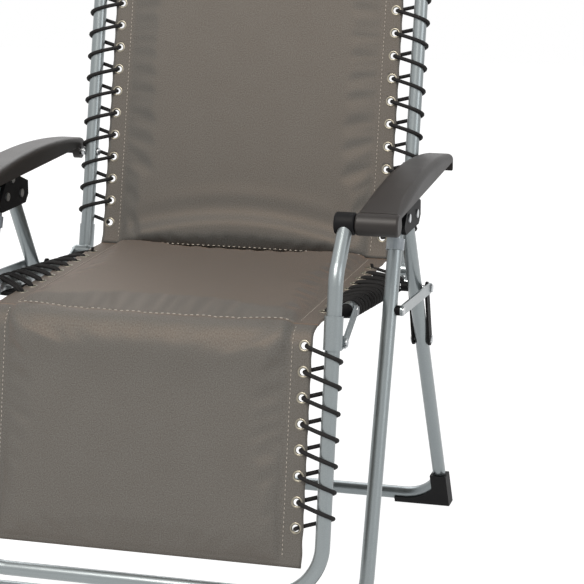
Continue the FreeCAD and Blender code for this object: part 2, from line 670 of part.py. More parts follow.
def arm_line(y):
    """Height of the line through both arm pivots."""
    return arm_pivot[1] + (y - arm_pivot[0]) * size("arm_drop") / size("arm_span")


arm_front_y = arm_front[0] + size("arm_nose")
arm_rear_y = arm_pivot[0] + size("arm_tail")
barrel_top = size("barrel_radius")
lug_start = leg_x - size("arm_inner_rear")


def arm_section(share):
    """Outline across the arm at a share of its length, round at the upper edges."""
    y = arm_front_y + (arm_rear_y - arm_front_y) * share
    inner = barrel_start + (lug_start - barrel_start) * share
    rear_width = leg_x + size("arm_outer_rear") - lug_start
    wide = barrel_length + (rear_width - barrel_length) * share
    ends = barrel_top + (size("arm_tail_rise") - barrel_top) * share
    middle = (barrel_top + size("arm_tail_rise")) / 2
    rise = ends + (size("arm_crown") - middle) * 4 * share * (1 - share)
    low = arm_line(y) + size("arm_skirt")
    high = arm_line(y) + rise
    edge = min(size("arm_edge"), (high - low) * 0.8, wide * 0.4)
    cut = edge * (1 - math.sqrt(0.5))
    outer = inner + wide
    corners = [Vector(inner, y, low), Vector(outer, y, low), Vector(outer, y, high - edge)]
    corners += [Vector(outer - cut, y, high - cut), Vector(outer - edge, y, high)]
    corners += [Vector(inner + edge, y, high), Vector(inner + cut, y, high - cut)]
    corners.append(Vector(inner, y, high - edge))
    edges = [
        Part.LineSegment(corners[0], corners[1]),
        Part.LineSegment(corners[1], corners[2]),
        Part.Arc(corners[2], corners[3], corners[4]),
        Part.LineSegment(corners[4], corners[5]),
        Part.Arc(corners[5], corners[6], corners[7]),
        Part.LineSegment(corners[7], corners[0]),
    ]
    return Part.Wire([edge.toShape() for edge in edges])


ceiling_rise = roller[1] + size("roller_radius") + size("rail_gap") + size("rail_thick") - arm_line(roller[0])
channel_start = arm_front[0] + size("channel_front")
channel_end = arm_pivot[0] - size("channel_rear")


def channel_block():
    """Space under the arm with a flat ceiling that runs parallel to the arm line."""
    left = leg_x - size("channel_width") / 2
    depth = 4 * size("barrel_radius")
    outline = []
    for y, rise in ((channel_start, ceiling_rise), (channel_end, ceiling_rise),
                    (channel_end, -depth), (channel_start, -depth)):
        outline.append(Vector(left, y, arm_line(y) + rise))
    return Part.Face(Part.makePolygon(outline + outline[:1])).extrude(Vector(size("channel_width"), 0, 0))


section_count = 7
shell = Part.makeLoft([arm_section(step / (section_count - 1)) for step in range(section_count)], True, False)
barrel = soft_ended_barrel(barrel_start, barrel_length, arm_front, size("barrel_radius"))
lug = round_rod(lug_start, lug_start + size("lug_width"), arm_pivot, size("lug_radius"))
lug_top = Vector(lug_start, arm_pivot[0] - size("lug_radius"), arm_pivot[1])
lug_height = size("arm_skirt") + size("lug_sink")
lug_block = Part.makeBox(size("lug_width"), 2 * size("lug_radius"), lug_height, lug_top)
lip_width = leg_x + size("arm_outer_rear") - lug_start
lip_low = arm_line(arm_rear_y) + size("arm_skirt") - size("arm_lip_drop")
lip_base = Vector(lug_start, arm_rear_y - size("arm_lip"), lip_low)
lip = Part.makeBox(lip_width, size("arm_lip"), size("arm_lip_drop") + size("arm_lip") / 2, lip_base)
lip_edges = [edge for edge in lip.Edges if abs(edge.CenterOfMass.z - lip_low) < 0.01]
lip = lip.makeFillet(size("arm_lip") / 3, lip_edges)
arm = shell.fuse(barrel).fuse(lug).fuse(lug_block).fuse(lip).cut(channel_block())
arm = arm.cut(round_rod(barrel_start - size("tool_reach"), leg_x + tube_radius, arm_front, front_bore))
lug_end = lug_start + size("lug_width") + size("tool_reach")
arm = arm.cut(round_rod(lug_start - size("tool_reach"), lug_end, arm_pivot, pin_hole))
lever_y = arm_pivot[0] - size("lever_ahead")
lever_pivot = (lever_y, arm_line(lever_y) + size("arm_skirt") + size("lever_lift"))
lever_x = leg_x - size("lever_inset")
lever_hole = size("lever_pin_radius") + size("running_fit")
lever_pin_half = size("channel_width") / 2 + size("lever_pin_grip")
arm = arm.cut(round_rod(leg_x - lever_pin_half, leg_x + lever_pin_half, lever_pivot, lever_hole))
arm = solid_of(arm.removeSplitter())
left_and_right("armrest", arm)

front_pin_start = knuckle_start + size("front_pin_inset")
front_pin = round_rod(front_pin_start, leg_x + tube_radius, arm_front, size("front_pin_radius"))
feature("arm_front_pins", both_sides(front_pin))

rail_left = leg_x - size("rail_width") / 2
rail_end = channel_start + size("rail_length")
rail_outline = []
for y, rise in ((channel_start, 0.0), (rail_end, 0.0), (rail_end, -size("rail_thick")),
                (channel_start, -size("rail_thick"))):
    rail_outline.append(Vector(rail_left, y, arm_line(y) + ceiling_rise + rise))
rail = Part.Face(Part.makePolygon(rail_outline + rail_outline[:1])).extrude(Vector(size("rail_width"), 0, 0))
left_and_right("arm_rail", rail)

# Arm pivots: a pin through the back tube with a collar that spaces the arm.

pivot_head = frame_x - tube_radius - size("side_gap")
arm_pin_start = pivot_head - size("head_thick")
arm_pin = round_rod(arm_pin_start, lug_start + size("lug_width"), arm_pivot, size("pin_radius"))
arm_pin = arm_pin.fuse(round_rod(arm_pin_start, pivot_head, arm_pivot, size("head_radius")))
collar_x = frame_x + tube_radius + size("side_gap")
arm_pin = arm_pin.fuse(round_rod(collar_x, lug_start - size("side_gap"), arm_pivot, size("head_radius")))
feature("arm_pivot_pins", both_sides(arm_pin.removeSplitter()))

# Lock levers hang on cross pins in the arm channels.

lever_x0 = lever_x - size("lever_width") / 2
lever_knuckle = size("lever_knuckle")
lever = round_rod(lever_x0, lever_x0 + size("lever_width"), lever_pivot, lever_knuckle)
blade_base = Vector(lever_x0, lever_pivot[0] - size("lever_length"), lever_pivot[1] - lever_knuckle)
blade = Part.makeBox(size("lever_width"), size("lever_length"), size("lever_thick"), blade_base)
blade_tip = [edge for edge in blade.Edges if abs(edge.CenterOfMass.y - blade_base.y) < 0.01]
blade = blade.makeFillet(size("lever_thick") / 4, blade_tip)
lever = lever.fuse(blade).removeSplitter()
lever_end = lever_x0 + size("lever_width")
lever_bore = round_rod(lever_x0 - size("tool_reach"), lever_end + size("tool_reach"), lever_pivot, lever_hole)
lever = solid_of(lever.cut(lever_bore))
left_and_right("lock_lever", lever)
lever_pin = round_rod(leg_x - lever_pin_half, leg_x + lever_pin_half, lever_pivot, size("lever_pin_radius"))
feature("lever_pins", both_sides(lever_pin))


# Sling panels: a padded middle with a crown, and thin hems with an eyelet row each side.


def sling_frame(origin, ahead, out):
    """Maps a panel's own x, length and height to the object."""
    def place(x, run, rise):
        y = origin[0] + ahead[0] * run + out[0] * rise
        z = origin[1] + ahead[1] * run + out[1] * rise
        return Vector(x, y, z)
    return place


def pad_section(place, run, half, top, belly, edge):
    """Lens across the pad: a crowned top and a flatter belly between two sewn edges."""
    upper = Part.Arc(place(-half, run, edge), place(0, run, top), place(half, run, edge))
    lower = Part.Arc(place(half, run, -edge), place(0, run, -belly), place(-half, run, -edge))
    right = Part.LineSegment(place(half, run, edge), place(half, run, -edge))
    left = Part.LineSegment(place(-half, run, -edge), place(-half, run, edge))
    return Part.Wire([side.toShape() for side in (upper, right, lower, left)])


def sling_panel(place, sheet_start, sheet_end, start, end, eyelet_runs):
    """Thin sheet from seam to seam with an eyelet row each side, and the pad sewn on its middle."""
    length = end - start
    sections = []
    for share, fullness in ((0.0, 0.35), (0.08, 0.85), (0.5, 1.0), (0.92, 0.85), (1.0, 0.35)):
        draw = size("pad_waist") * 4 * share * (1 - share)
        edge = size("pad_edge")
        top = edge + (size("pad_crown") - edge) * fullness
        belly = edge + (size("pad_belly") - edge) * fullness
        half_width = eyelet_x - size("pad_inset") - draw
        sections.append(pad_section(place, start + length * share, half_width, top, belly, edge))
    pad = Part.makeLoft(sections, True, False)
    half = size("hem_thick") / 2
    across = eyelet_x + size("hem_margin")
    corners = [place(-across, sheet_start, -half), place(across, sheet_start, -half)]
    corners += [place(across, sheet_end, -half), place(-across, sheet_end, -half)]
    normal = place(0, 0, 2 * half) - place(0, 0, 0)
    sheet_body = Part.Face(Part.makePolygon(corners + corners[:1])).extrude(normal)
    barrel_hole = size("eyelet_hole") + size("eyelet_wall") + size("running_fit")
    for sign in (-1, 1):
        for run in eyelet_runs:
            low = place(sign * eyelet_x, run, -2 * half)
            sheet_body = sheet_body.cut(Part.makeCylinder(barrel_hole, 4 * half, low, normal))
    return solid_of(sheet_body.fuse(pad).removeSplitter())


def eyelet_rings(place, eyelet_runs):
    """Pressed eyelets: a short barrel with a flange on each face of the hem."""
    rings = []
    half = size("hem_thick") / 2 + size("running_fit")
    wall = size("eyelet_wall")
    hole = size("eyelet_hole")
    for sign in (-1, 1):
        for run in eyelet_runs:
            foot = place(sign * eyelet_x, run, -half - wall)
            axis = place(0, 0, 1) - place(0, 0, 0)
            tall = 2 * (half + wall)
            ring = Part.makeCylinder(hole + wall, tall, foot, axis)
            for rise in (-half - wall, half):
                spot = place(sign * eyelet_x, run, rise)
                ring = ring.fuse(Part.makeCylinder(size("eyelet_flange"), wall, spot, axis))
            bore = Part.makeCylinder(hole, tall, foot, axis)
            rings.append(solid_of(ring.cut(bore).removeSplitter()))
    return Part.makeCompound(rings)


# Elastic lacing: one cord a side that winds through the eyelets and round the tube.


def arc_edge(start, tangent, end):
    """Edge of the arc that leaves start along tangent and reaches end, or a line if straight."""
    chord = end - start
    heading = Vector(chord).normalize()
    swing = tangent.getAngle(heading)
    if swing < 1e-5:
        return Part.LineSegment(start, end).toShape()
    middle = start + (tangent + heading).normalize() * (chord.Length / (2 * math.cos(swing / 2)))
    return Part.Arc(start, middle, end).toShape()


def biarc_edges(start, leave, end, arrive):
    """Two tangent arcs between two points with given headings."""
    span = end - start
    total = leave + arrive
    blend = 2 * (1 - leave.dot(arrive))
    if blend < 1e-9:
        return [Part.LineSegment(start, end).toShape()]
    lean = span.dot(total)
    reach_out = (-lean + math.sqrt(lean * lean + blend * span.dot(span))) / blend
    middle = (start + end + (leave - arrive) * reach_out) * 0.5
    back = arc_edge(end, arrive * -1.0, middle)
    edges = [arc_edge(start, leave, middle)]
    reversed_back = Part.Arc(middle, back.valueAt((back.FirstParameter + back.LastParameter) / 2), end)
    edges.append(reversed_back.toShape())
    return edges


def winding_stations(place, axis_rise, run, pitch, half, pull):
    """Points and headings of one turn, from an eyelet round the tube to the next eyelet."""
    around = tube_radius + size("cord_gap") + size("cord_radius")
    turn = size("cord_turn")
    stations = []
    for rise in (axis_rise(run), axis_rise(run + pitch)):
        centre = (eyelet_x + pull + turn - half, -rise)
        gap = math.hypot(*centre)
        heading = math.atan2(centre[1], centre[0])
        tilt = math.acos((around - turn) / gap)
        stations.append((centre, heading, tilt))
    (first, head, tilt), (second, head_next, tilt_next) = stations
    line = math.sqrt(math.hypot(*first) ** 2 - (around - turn) ** 2)
    eyelet_arc = turn * tilt
    tube_arc = around * (2 * math.pi - 2 * tilt)
    whole = 2 * eyelet_arc + 2 * line + tube_arc
    stages = [
        (first, turn, head, 0.0),
        (first, turn, head + tilt, eyelet_arc),
        ((0.0, 0.0), around, head + tilt, eyelet_arc + line),
        ((0.0, 0.0), around, head + math.pi, eyelet_arc + line + tube_arc / 2),
        ((0.0, 0.0), around, head_next - tilt_next + 2 * math.pi, eyelet_arc + line + tube_arc),
        (second, turn, head_next - tilt_next, whole - eyelet_arc),
        (second, turn, head_next, whole),
    ]
    points = []
    for centre, radius, angle, travelled in stages:
        across = centre[0] + radius * math.cos(angle)
        lift = centre[1] + radius * math.sin(angle)
        ahead = run + pitch * travelled / whole
        spot = place(half + across, ahead, axis_rise(ahead) + lift)
        nudge = 0.001
        across_next = across - nudge * math.sin(angle)
        lift_next = lift + nudge * math.cos(angle)
        ahead_next = ahead + nudge * pitch / whole
        tip = place(half + across_next, ahead_next, axis_rise(ahead) + lift_next)
        points.append((spot, (tip - spot).normalize()))
    return points


def lacing(place, axis_rise, passes, pull, label):
    """Left-hand cord through its passes and its mirror image, with the least gap to itself printed."""
    stations = []
    for run, next_run in zip(passes, passes[1:]):
        one_turn = winding_stations(place, axis_rise, run, next_run - run, frame_x, pull)
        stations += one_turn[:-1]
    stations.append(one_turn[-1])
    edges = []
    for (start, leave), (end, arrive) in zip(stations, stations[1:]):
        edges += biarc_edges(start, leave, end, arrive)
    path = Part.Wire(edges)
    tube = rod_along(path, size("cord_radius"))
    points = path.discretize(Distance=2.0)
    least = min((a - b).Length for index, a in enumerate(points) for b in points[index + 9:])
    clear = least - 2 * size("cord_radius")
    print(label, "length", round(path.Length), "least gap to itself", round(clear, 2))
    left_and_right(label, tube)


def eyelet_runs(first, last, count):
    """Even places of the eyelets along a panel."""
    steps = int(count) - 1
    return [first + (last - first) * step / steps for step in range(steps + 1)]


def round_down(count):
    """Whole steps that fit, where the last may run over by a small share."""
    return math.floor(count + size("step_slack"))


sling_front = (-back_rear[0], -back_rear[1])
back_place = sling_frame(back_base, back_up, sling_front)
# The pitch on the back comes from the arm pivot, so that the turns of the cord miss its pin.
arm_run = (arm_pivot[0] - back_base[0]) * back_up[0] + (arm_pivot[1] - back_base[1]) * back_up[1]
arm_eyelet = arm_run - size("arm_eyelet_gap")
back_pitch = (arm_eyelet - size("back_first_eyelet")) / size("eyelets_below_arm")
back_last = size("back_length") - size("back_last_gap")
back_steps = round_down((back_last - size("back_first_eyelet")) / back_pitch)
back_runs = [size("back_first_eyelet") + back_pitch * step for step in range(back_steps + 1)]
print("back eyelets", len(back_runs), "pitch", round(back_pitch, 3), "arm pivot at", round(arm_run, 3))
back_pad_end = size("back_length") - size("back_pad_gap")
feature("back_pad", sling_panel(back_place, size("back_sheet_start"), back_pad_end + size("sheet_margin"),
                                size("back_pad_start"), back_pad_end, back_runs))
feature("back_eyelets", eyelet_rings(back_place, back_runs))
lacing(back_place, lambda run: 0.0, back_runs, size("cord_pull"), "back_lacing")

seat_origin = (seat_pivot[0], back_hinge[1] + size("seat_sheet_rise"))
seat_place = sling_frame(seat_origin, (-1.0, 0.0), (0.0, 1.0))
seat_last = seat_front_run - size("seat_last_gap")
seat_runs = eyelet_runs(size("seat_first_eyelet"), seat_last, size("seat_eyelets"))
seat_edges = [back_hinge[0] + size("seat_sheet_lap"), knee_hinge[0] + size("seat_sheet_front_gap")]
seat_edges += [back_hinge[0] - size("seat_pad_rear_gap"), knee_hinge[0] + size("seat_pad_front_gap")]
feature("seat_pad", sling_panel(seat_place, *[seat_pivot[0] - edge for edge in seat_edges], seat_runs))
feature("seat_eyelets", eyelet_rings(seat_place, seat_runs))


def seat_tube_rise(run):
    """Height of the seat tube axis above the sling plane."""
    return seat_pivot[1] - seat_origin[1] + run * slope(size("seat_rise"))


# The seat carries the load, so its cord goes through each eyelet twice.
seat_passes = [run + side * size("pass_gap") for run in seat_runs for side in (-1, 1)]
lacing(seat_place, seat_tube_rise, seat_passes, size("seat_cord_pull"), "seat_lacing")

legrest_front = (-legrest_rear[0], -legrest_rear[1])
legrest_place = sling_frame(legrest_base, legrest_down, legrest_front)
legrest_last = legrest_foot_run - size("legrest_last_gap")
legrest_runs = eyelet_runs(size("legrest_first_eyelet"), legrest_last, size("legrest_eyelets"))
legrest_pad_end = legrest_foot_run - size("legrest_pad_gap")
legrest_sheet_end = legrest_pad_end + size("sheet_margin")
feature("legrest_pad", sling_panel(legrest_place, size("legrest_sheet_start"), legrest_sheet_end,
                                   size("legrest_pad_start"), legrest_pad_end, legrest_runs))
feature("legrest_eyelets", eyelet_rings(legrest_place, legrest_runs))
# The legrest cord is wound from the foot up, so its outer strands slope down to the tube.
upward_runs = list(reversed(legrest_runs))
lacing(legrest_place, lambda run: 0.0, upward_runs, size("cord_pull"), "legrest_lacing")

# Every piece is tested before anything is written.

doc.recompute()
for item in doc.Objects:
    if "Invalid" in item.State or "Error" in item.State:
        raise RuntimeError(f"{item.Name} failed: {item.State}")

groups = [item for item in doc.Objects if item.isDerivedFrom("Part::Compound")]
inside_groups = {link.Name for group in groups for link in group.Links}
nodes = []
for item in doc.Objects:
    whole = item.TypeId in ("Part::Feature", "Part::Compound", "PartDesign::Body")
    if whole and item.Name not in inside_groups:
        if item.Shape.isNull() or not item.Shape.isValid():
            raise RuntimeError(f"{item.Label} has no valid shape")
        nodes.append(item)

os.makedirs("parts", exist_ok=True)
for item in nodes:
    item.Shape.exportStep(f"parts/{item.Label}.step")
print(len(nodes), "nodes written")
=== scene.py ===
import math

import bmesh
import bpy
from mathutils import Matrix, Vector


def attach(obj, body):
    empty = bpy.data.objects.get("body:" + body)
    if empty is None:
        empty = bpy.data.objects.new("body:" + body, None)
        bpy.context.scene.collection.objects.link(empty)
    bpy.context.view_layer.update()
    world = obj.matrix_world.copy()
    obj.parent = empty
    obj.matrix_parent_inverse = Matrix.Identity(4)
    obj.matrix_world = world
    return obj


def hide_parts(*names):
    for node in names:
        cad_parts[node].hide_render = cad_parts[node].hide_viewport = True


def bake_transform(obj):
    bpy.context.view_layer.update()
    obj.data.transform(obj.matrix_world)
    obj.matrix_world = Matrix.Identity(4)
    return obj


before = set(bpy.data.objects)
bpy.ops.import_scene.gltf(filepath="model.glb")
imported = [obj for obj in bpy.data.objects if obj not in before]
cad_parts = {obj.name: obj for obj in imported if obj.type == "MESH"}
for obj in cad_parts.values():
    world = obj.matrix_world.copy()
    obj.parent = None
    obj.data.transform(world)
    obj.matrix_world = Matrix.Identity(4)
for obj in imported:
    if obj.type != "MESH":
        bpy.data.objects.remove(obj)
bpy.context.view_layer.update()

# Studio: the lounger stands on a pale floor that runs out to white, as in a cut-out product picture.
# A warm soft box hangs high in front; weaker ones fill from the right and from behind.

scene = bpy.context.scene
scene.view_settings.view_transform = "Standard"


def colour(code):
    """Turns an sRGB hex code into a linear colour with alpha."""
    parts = [int(code[at:at + 2], 16) / 255 for at in (1, 3, 5)]
    return [p / 12.92 if p <= 0.04045 else ((p + 0.055) / 1.055) ** 2.4 for p in parts] + [1.0]


def node(tree, kind, fill=None, **settings):
    """Adds a node, sets its properties, and fills inputs by name or number with a value or an output."""
    made = tree.nodes.new(kind)
    for name, value in settings.items():
        setattr(made, name, value)
    for name, value in (fill or {}).items():
        if isinstance(value, bpy.types.NodeSocket):
            tree.links.new(value, made.inputs[name])
        else:
            made.inputs[name].default_value = value
    return made


def into_object(mesh_in_work, name, material):
    """Turns a bmesh into an object with smooth faces, outward normals and one material."""
    bmesh.ops.recalc_face_normals(mesh_in_work, faces=mesh_in_work.faces)
    mesh = bpy.data.meshes.new(name)
    mesh_in_work.to_mesh(mesh)
    mesh_in_work.free()
    mesh.shade_smooth()
    mesh.materials.append(material)
    made = bpy.data.objects.new(name, mesh)
    scene.collection.objects.link(made)
    return made


world = bpy.data.worlds.new("studio_room")
world.use_nodes = True
scene.world = world
room = world.node_tree
rays = node(room, "ShaderNodeLightPath")
seen = node(room, "ShaderNodeMath", {0: rays.outputs["Is Camera Ray"], 1: rays.outputs["Is Glossy Ray"]},
            operation="MAXIMUM")
seen = node(room, "ShaderNodeMath", {0: seen.outputs[0], 1: rays.outputs["Is Transmission Ray"]},
            operation="MAXIMUM")
level = node(room, "ShaderNodeMapRange", {"Value": seen.outputs[0], "To Min": 0.30, "To Max": 1.0})
background = room.nodes["Background"]
background.inputs["Color"].default_value = (1.0, 1.0, 1.0, 1.0)
room.links.new(level.outputs[0], background.inputs["Strength"])

floor_paper = bpy.data.materials.new("white_studio_paper")
floor_paper.use_nodes = True
paper = floor_paper.node_tree
paper.nodes["Principled BSDF"].inputs["Base Color"].default_value = colour("#ffffff")
paper.nodes["Principled BSDF"].inputs["Roughness"].default_value = 0.9
rays = node(paper, "ShaderNodeLightPath")
seen = node(paper, "ShaderNodeMath", {0: rays.outputs["Is Camera Ray"], 1: rays.outputs["Is Glossy Ray"]},
            operation="MAXIMUM")
seen = node(paper, "ShaderNodeMath", {0: seen.outputs[0], 1: rays.outputs["Is Transmission Ray"]},
            operation="MAXIMUM")
share = node(paper, "ShaderNodeMath", {0: seen.outputs[0], 1: 0.74}, operation="MULTIPLY")
white = node(paper, "ShaderNodeEmission", {"Color": (1.0, 1.0, 1.0, 1.0), "Strength": 1.3})
both = node(paper, "ShaderNodeMixShader", {0: share.outputs[0], 1: paper.nodes["Principled BSDF"].outputs[0],
                                           2: white.outputs[0]})
paper.links.new(both.outputs[0], paper.nodes["Material Output"].inputs["Surface"])
ground = bmesh.new()
bmesh.ops.create_grid(ground, x_segments=2, y_segments=2, size=6.0)
floor = into_object(ground, "floor", floor_paper)

for name, place, aim, size, power, tint in (
        ("soft_box_front", (-0.3, -2.3, 3.2), (0.0, -0.1, 0.4), 1.4, 125.0, (1.0, 0.95, 0.89)),
        ("soft_box_right", (3.0, -0.8, 1.6), (0.0, 0.0, 0.4), 1.6, 20.0, (1.0, 1.0, 1.0)),
        ("soft_box_rear", (-1.2, 2.6, 2.6), (0.0, 0.0, 0.5), 2.2, 40.0, (1.0, 1.0, 1.0))):
    lamp = bpy.data.lights.new(name, "AREA")
    lamp.shape = "SQUARE"
    lamp.size = size
    lamp.energy = power
    lamp.color = tint
    holder = bpy.data.objects.new(name, lamp)
    holder.location = place
    holder.rotation_euler = (Vector(aim) - Vector(place)).to_track_quat("-Z", "Y").to_euler()
    scene.collection.objects.link(holder)

lens = bpy.data.cameras.new("camera")
lens.lens = 123.6
lens.sensor_width = 36.0
camera = bpy.data.objects.new("camera", lens)
camera.location = (0.8645, -2.6956, 1.0683)
camera.rotation_euler = (math.radians(76.56), 0.0, math.radians(15.37))
scene.collection.objects.link(camera)
scene.camera = camera

# Frame tubes: 20 mm steel tube, bent cold and powder coated in satin silver grey.
# The rear and front leg loops stand on the floor; back, seat and legrest tubes carry the sling.


def new_finish(name):
    """Starts a material and gives back it, its node tree, its shader and its object coordinates."""
    material = bpy.data.materials.new(name)
    material.use_nodes = True
    tree = material.node_tree
    return material, tree, tree.nodes["Principled BSDF"], node(tree, "ShaderNodeTexCoord").outputs["Object"]


def dress(material, *names):
    """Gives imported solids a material."""
    for name in names:
        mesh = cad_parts[name].data
        mesh.materials.clear()
        mesh.materials.append(material)


def sides(*names):
    """Left and right names of paired pieces."""
    return [f"{name}_{side}" for name in names for side in ("left", "right")]


# Powder coat with metal flake: a soft broad highlight, a fine sparkle and slight orange peel.
# The flake is drawn at 1.4 mm, coarser than the real 0.1 mm, so that it shows.
powder_coat, tree, shader, spot = new_finish("satin_silver_powder_coat")
flake = node(tree, "ShaderNodeTexNoise", {"Vector": spot, "Scale": 700.0, "Detail": 2.0})
cloud = node(tree, "ShaderNodeTexNoise", {"Vector": spot, "Scale": 22.0, "Detail": 3.0})
tone = node(tree, "ShaderNodeMix", {0: flake.outputs["Fac"], 6: colour("#767d80"), 7: colour("#979ea0")},
            data_type="RGBA")
worn = node(tree, "ShaderNodeMix", {0: cloud.outputs["Fac"], 6: tone.outputs[2], 7: colour("#868d8f")},
            data_type="RGBA")
rough = node(tree, "ShaderNodeMapRange", {"Value": cloud.outputs["Fac"], "To Min": 0.25, "To Max": 0.36})
peel = node(tree, "ShaderNodeBump", {"Height": flake.outputs["Fac"], "Strength": 0.08, "Distance": 0.0005})
tree.links.new(worn.outputs[2], shader.inputs["Base Color"])
tree.links.new(rough.outputs[0], shader.inputs["Roughness"])
tree.links.new(peel.outputs[0], shader.inputs["Normal"])
shader.inputs["Metallic"].default_value = 0.7
dress(powder_coat, "rear_leg_frame", "front_leg_frame", "back_frame", "legrest_frame",
      *sides("seat_tube", "back_sleeve", "knee_sleeve", "back_hinge_plate", "knee_hinge_plate", "stay_link"))

# Fittings of glass-filled nylon: corner feet, apex plates, swing forks, knuckles and levers.
# They are injection moulded in black with a fine spark-eroded grain.

moulded_black, tree, shader, spot = new_finish("black_moulded_nylon")
grain = node(tree, "ShaderNodeTexNoise", {"Vector": spot, "Scale": 950.0, "Detail": 3.0})
scuff = node(tree, "ShaderNodeTexNoise", {"Vector": spot, "Scale": 60.0, "Detail": 5.0, "Roughness": 0.6})
tone = node(tree, "ShaderNodeMix", {0: scuff.outputs["Fac"], 6: colour("#09090a"), 7: colour("#121214")},
            data_type="RGBA")
rough = node(tree, "ShaderNodeMapRange", {"Value": scuff.outputs["Fac"], "To Min": 0.5, "To Max": 0.68})
bump = node(tree, "ShaderNodeBump", {"Height": grain.outputs["Fac"], "Strength": 0.18, "Distance": 0.0004})
tree.links.new(tone.outputs[2], shader.inputs["Base Color"])
tree.links.new(rough.outputs[0], shader.inputs["Roughness"])
tree.links.new(bump.outputs[0], shader.inputs["Normal"])
shader.inputs["IOR"].default_value = 1.53
shader.inputs["Specular IOR Level"].default_value = 0.12
dress(moulded_black, "stay_studs", "seat_pivot_bushes",
      *sides("rear_foot", "front_foot", "apex_plates", "swing_fork", "arm_knuckle", "lock_lever"))

# Natural nylon turned parts: the collars at the tops of the front legs and the rollers under the arms.
# Unpigmented nylon is milky grey and lets a little light through.

milky_nylon, tree, shader, spot = new_finish("natural_nylon")
haze = node(tree, "ShaderNodeTexNoise", {"Vector": spot, "Scale": 90.0, "Detail": 2.0})
tone = node(tree, "ShaderNodeMix", {0: haze.outputs["Fac"], 6: colour("#868f96"), 7: colour("#a5adb3")},
            data_type="RGBA")
tree.links.new(tone.outputs[2], shader.inputs["Base Color"])
shader.inputs["Roughness"].default_value = 0.38
shader.inputs["IOR"].default_value = 1.53
shader.inputs["Subsurface Weight"].default_value = 0.3
shader.inputs["Subsurface Radius"].default_value = (0.004, 0.004, 0.005)
dress(milky_nylon, "leg_collars", "arm_rollers")

# Rivets, pins and rails: zinc plated steel, pressed or turned, with a slightly blotched bright film.

zinc, tree, shader, spot = new_finish("zinc_plated_steel")
blotch = node(tree, "ShaderNodeTexNoise", {"Vector": spot, "Scale": 180.0, "Detail": 4.0})
tone = node(tree, "ShaderNodeMix", {0: blotch.outputs["Fac"], 6: colour("#9c9fa2"), 7: colour("#cfd2d4")},
            data_type="RGBA")
rough = node(tree, "ShaderNodeMapRange", {"Value": blotch.outputs["Fac"], "To Min": 0.22, "To Max": 0.4})
tree.links.new(tone.outputs[2], shader.inputs["Base Color"])
tree.links.new(rough.outputs[0], shader.inputs["Roughness"])
shader.inputs["Metallic"].default_value = 1.0
dress(zinc, "apex_rivets", "fork_rivets", "stay_rivets", "seat_rivets", "seat_pivot_pins", "back_hinge_pins",
      "knee_hinge_pins", "arm_pivot_pins", "arm_front_pins", "lever_pins", *sides("arm_rail"))

# Armrests: one moulded shell each of dark grey polypropylene over the steel rail.
# The fine moulded grain scatters the light, and the long top shows a broad pale sheen.

arm_plastic, tree, shader, spot = new_finish("grained_polypropylene")
grain = node(tree, "ShaderNodeTexNoise", {"Vector": spot, "Scale": 800.0, "Detail": 3.0})
drift = node(tree, "ShaderNodeTexNoise", {"Vector": spot, "Scale": 14.0, "Detail": 3.0})
tone = node(tree, "ShaderNodeMix", {0: drift.outputs["Fac"], 6: colour("#1c1918"), 7: colour("#262220")},
            data_type="RGBA")
rough = node(tree, "ShaderNodeMapRange", {"Value": drift.outputs["Fac"], "To Min": 0.44, "To Max": 0.54})
bump = node(tree, "ShaderNodeBump", {"Height": grain.outputs["Fac"], "Strength": 0.2, "Distance": 0.0004})
tree.links.new(tone.outputs[2], shader.inputs["Base Color"])
tree.links.new(rough.outputs[0], shader.inputs["Roughness"])
tree.links.new(bump.outputs[0], shader.inputs["Normal"])
shader.inputs["IOR"].default_value = 1.49
shader.inputs["Specular IOR Level"].default_value = 0.35
dress(arm_plastic, *sides("armrest"))

# Sling cloth: a woven polyester melange over thin foam, sewn into three padded panels with flat hems.
# Two greys of thread are mixed; the warm tint is in the gloss and sheen, so it shows where light glances off.

melange, tree, shader, spot = new_finish("polyester_melange_weave")
flat = node(tree, "ShaderNodeUVMap", uv_map="cloth").outputs["UV"]
# Threads lie 0.5 mm apart on the real cloth; the weave is drawn at 1.2 mm so that it shows.
warp = node(tree, "ShaderNodeTexWave", {"Vector": flat, "Scale": 265.0, "Distortion": 0.6, "Detail": 1.0},
            bands_direction="X")
weft = node(tree, "ShaderNodeTexWave", {"Vector": flat, "Scale": 265.0, "Distortion": 0.6, "Detail": 1.0},
            bands_direction="Y")
weave = node(tree, "ShaderNodeMath", {0: warp.outputs["Fac"], 1: weft.outputs["Fac"]}, operation="MULTIPLY")
fleck = node(tree, "ShaderNodeTexNoise", {"Vector": flat, "Scale": 640.0, "Detail": 2.0, "Roughness": 0.6})
drift = node(tree, "ShaderNodeTexNoise", {"Vector": flat, "Scale": 18.0, "Detail": 3.0})
strand = node(tree, "ShaderNodeMapRange", {"Value": fleck.outputs["Fac"], "From Min": 0.25, "From Max": 0.75})
threads = node(tree, "ShaderNodeMix", {0: strand.outputs[0], 6: colour("#393d3e"), 7: colour("#5d6263")},
               data_type="RGBA")
worn = node(tree, "ShaderNodeMapRange", {"Value": drift.outputs["Fac"], "To Min": 0.92, "To Max": 1.08})
shade = node(tree, "ShaderNodeMath", {0: weave.outputs[0], 1: 0.12, 2: worn.outputs[0]},
             operation="MULTIPLY_ADD")
cloth_tone = node(tree, "ShaderNodeVectorMath", {0: threads.outputs[2], "Scale": shade.outputs[0]},
                  operation="SCALE")
height = node(tree, "ShaderNodeMath", {0: weave.outputs[0], 1: fleck.outputs["Fac"]}, operation="ADD")
bump = node(tree, "ShaderNodeBump", {"Height": height.outputs[0], "Strength": 0.3, "Distance": 0.0005})
tree.links.new(cloth_tone.outputs[0], shader.inputs["Base Color"])
tree.links.new(bump.outputs[0], shader.inputs["Normal"])
shader.inputs["Roughness"].default_value = 0.6
